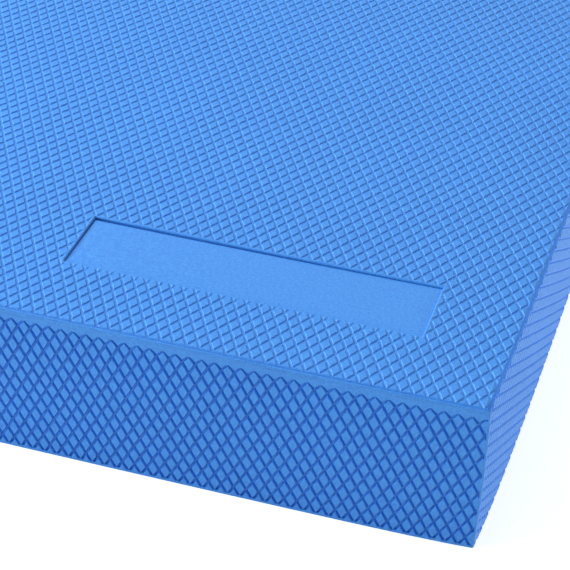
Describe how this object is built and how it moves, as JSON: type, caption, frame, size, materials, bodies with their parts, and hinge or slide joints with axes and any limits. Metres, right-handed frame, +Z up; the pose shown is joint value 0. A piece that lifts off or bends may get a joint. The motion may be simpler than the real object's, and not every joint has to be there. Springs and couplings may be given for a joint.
{
  "type": "balance pad",
  "caption": "Thick rectangular foam balance pad with a lozenge grip pattern and a smooth recessed panel near one corner.",
  "frame": {"origin": "middle of the underside", "axes": "+Z up, +X along the long side with the panel near its +X end, -Y towards the side beside the panel"},
  "size_m": [0.4, 0.33, 0.0508],
  "materials": {
    "foam": "matt closed-cell foam",
    "grip_skin": "satin foam skin moulded with lozenge grooves",
    "panel_skin": "smooth satin foam skin"
  },
  "bodies": {
    "root": {"foam_core": "foam", "top_skin": "grip_skin", "panel_skin": "panel_skin", "side_skin": "grip_skin", "bottom_skin": "grip_skin"}
  },
  "joints": []
}
